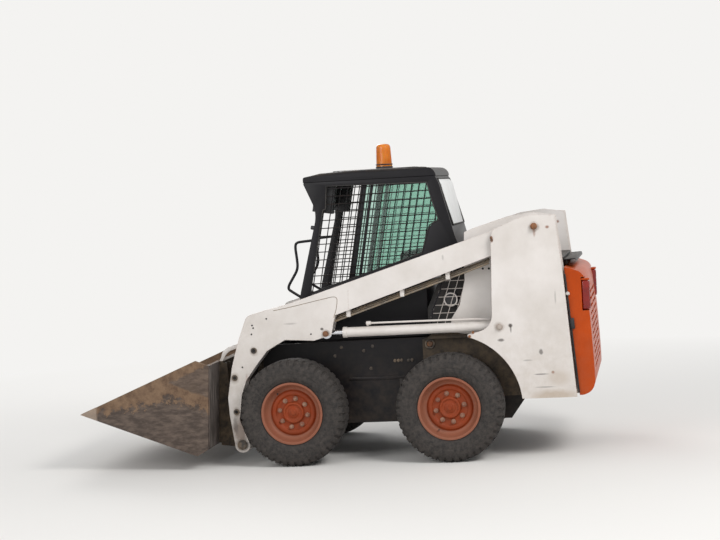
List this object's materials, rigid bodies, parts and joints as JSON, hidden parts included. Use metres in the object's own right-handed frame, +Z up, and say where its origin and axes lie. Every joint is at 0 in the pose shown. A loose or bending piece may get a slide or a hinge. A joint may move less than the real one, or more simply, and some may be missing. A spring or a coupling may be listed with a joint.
{
  "type": "skid steer loader",
  "caption": "Wheeled compact loader with two lift arms pivoted on rear towers, an open caged cab between them and a wide dirt bucket.",
  "frame": {"origin": "on the ground under the middle of the whole machine, bucket included", "axes": "+X forward to the bucket, +Y to the operator's left, +Z up"},
  "size_m": [3.714, 1.73, 2.2619],
  "materials": {
    "tyre_rubber": "dusty moulded tread",
    "orange_enamel": "semi-gloss enamel",
    "black_enamel": "satin enamel",
    "pale_enamel": "semi-gloss enamel, dusty",
    "cast_grey": "painted casting",
    "chromed_steel": "ground and chromed",
    "worn_steel": "scoured steel with dry soil",
    "black_plastic": "moulded",
    "amber_plastic": "clear amber moulding",
    "seat_vinyl": "vinyl"
  },
  "bodies": {
    "chassis": {"axle_tubes": "black_enamel", "engine_block": "cast_grey", "engine_cover": "black_enamel", "hull": "black_enamel", "tailgate_hinges": "black_enamel", "tower_left": "pale_enamel", "tower_right": "pale_enamel"},
    "wheel_front_left": {"tyre_front_left": "tyre_rubber", "rim_front_left": "orange_enamel"},
    "wheel_front_right": {"tyre_front_right": "tyre_rubber", "rim_front_right": "orange_enamel"},
    "wheel_rear_left": {"tyre_rear_left": "tyre_rubber", "rim_rear_left": "orange_enamel"},
    "wheel_rear_right": {"tyre_rear_right": "tyre_rubber", "rim_rear_right": "orange_enamel"},
    "lift_arms": {"arm_left": "pale_enamel", "arm_right": "pale_enamel", "arm_cross_tube": "pale_enamel", "tilt_mounts": "pale_enamel"},
    "coupler_bucket": {"coupler": "black_enamel", "bucket": "worn_steel", "cutting_edge": "worn_steel"},
    "lift_barrel_left": {"lift_barrel_left": "pale_enamel"},
    "lift_barrel_right": {"lift_barrel_right": "pale_enamel"},
    "lift_rod_left": {"lift_rod_left": "chromed_steel"},
    "lift_rod_right": {"lift_rod_right": "chromed_steel"},
    "tilt_barrel_left": {"tilt_barrel_left": "black_enamel"},
    "tilt_barrel_right": {"tilt_barrel_right": "black_enamel"},
    "tilt_rod_left": {"tilt_rod_left": "chromed_steel"},
    "tilt_rod_right": {"tilt_rod_right": "chromed_steel"},
    "cab": {"cab_frame": "black_enamel", "cab_roof": "black_enamel", "beacon_base": "black_plastic", "beacon_lens": "amber_plastic", "operator_seat": "seat_vinyl"},
    "seat_bar": {"seat_bar": "black_enamel"},
    "tailgate": {"tailgate": "orange_enamel"}
  },
  "joints": [
    {"name": "wheel_front_left_turn", "type": "hinge", "parent": "chassis", "child": "wheel_front_left", "pos_m": [0.3085, 0.703, 0.38], "axis": [0, 1, 0], "continuous": true},
    {"name": "wheel_front_right_turn", "type": "hinge", "parent": "chassis", "child": "wheel_front_right", "pos_m": [0.3085, -0.703, 0.38], "axis": [0, 1, 0], "continuous": true},
    {"name": "wheel_rear_left_turn", "type": "hinge", "parent": "chassis", "child": "wheel_rear_left", "pos_m": [-0.8125, 0.703, 0.38], "axis": [0, 1, 0], "continuous": true},
    {"name": "wheel_rear_right_turn", "type": "hinge", "parent": "chassis", "child": "wheel_rear_right", "pos_m": [-0.8125, -0.703, 0.38], "axis": [0, 1, 0], "continuous": true},
    {"name": "arm_lift", "type": "hinge", "parent": "chassis", "child": "lift_arms", "pos_m": [-1.459, 0, 1.616], "axis": [0, -1, 0], "range_deg": [0, 65]},
    {"name": "bucket_tilt", "type": "hinge", "parent": "lift_arms", "child": "coupler_bucket", "pos_m": [0.706, 0, 0.153], "axis": [0, 1, 0], "range_deg": [-5, 125]},
    {"name": "lift_barrel_left_swing", "type": "hinge", "parent": "chassis", "child": "lift_barrel_left", "pos_m": [-1.187, 0.645, 0.93], "axis": [0, -1, 0], "range_deg": [-0.5, 61.3]},
    {"name": "lift_rod_left_stroke", "type": "slide", "parent": "lift_barrel_left", "child": "lift_rod_left", "axis": [1, 0, -0.0016], "range_m": [-0.002, 0.7865]},
    {"name": "lift_barrel_right_swing", "type": "hinge", "parent": "chassis", "child": "lift_barrel_right", "pos_m": [-1.187, -0.645, 0.93], "axis": [0, -1, 0], "range_deg": [-0.5, 61.3]},
    {"name": "lift_rod_right_stroke", "type": "slide", "parent": "lift_barrel_right", "child": "lift_rod_right", "axis": [1, 0, -0.0016], "range_m": [-0.002, 0.7865]},
    {"name": "tilt_barrel_left_swing", "type": "hinge", "parent": "lift_arms", "child": "tilt_barrel_left", "pos_m": [0.548, 0.5, 0.905], "axis": [0, 1, 0], "range_deg": [-0.39, 2.62]},
    {"name": "tilt_rod_left_stroke", "type": "slide", "parent": "tilt_barrel_left", "child": "tilt_rod_left", "axis": [0.3578, 0, -0.9338], "range_m": [-0.0167, 0.3937]},
    {"name": "tilt_barrel_right_swing", "type": "hinge", "parent": "lift_arms", "child": "tilt_barrel_right", "pos_m": [0.548, -0.5, 0.905], "axis": [0, 1, 0], "range_deg": [-0.39, 2.62]},
    {"name": "tilt_rod_right_stroke", "type": "slide", "parent": "tilt_barrel_right", "child": "tilt_rod_right", "axis": [0.3578, 0, -0.9338], "range_m": [-0.0167, 0.3937]},
    {"name": "cab_tip", "type": "hinge", "parent": "chassis", "child": "cab", "pos_m": [-0.922, 0, 1.425], "axis": [0, -1, 0], "range_deg": [0, 35]},
    {"name": "seat_bar_lift", "type": "hinge", "parent": "cab", "child": "seat_bar", "pos_m": [-0.672, 0, 1.39], "axis": [0, -1, 0], "range_deg": [0, 75]},
    {"name": "tailgate_swing", "type": "hinge", "parent": "chassis", "child": "tailgate", "pos_m": [-1.714, -0.712, 0.9], "axis": [0, 0, 1], "range_deg": [0, 85]}
  ],
  "couplings": [
    {"joint": "lift_barrel_left_swing", "follows": "arm_lift", "ratio": 0.93533},
    {"joint": "lift_rod_left_stroke", "follows": "arm_lift", "m_per_rad": 0.69148},
    {"joint": "lift_barrel_right_swing", "follows": "arm_lift", "ratio": 0.93533},
    {"joint": "lift_rod_right_stroke", "follows": "arm_lift", "m_per_rad": 0.69148},
    {"joint": "tilt_barrel_left_swing", "follows": "bucket_tilt", "ratio": 0.018531},
    {"joint": "tilt_rod_left_stroke", "follows": "bucket_tilt", "m_per_rad": 0.18002},
    {"joint": "tilt_barrel_right_swing", "follows": "bucket_tilt", "ratio": 0.018531},
    {"joint": "tilt_rod_right_stroke", "follows": "bucket_tilt", "m_per_rad": 0.18002}
  ]
}
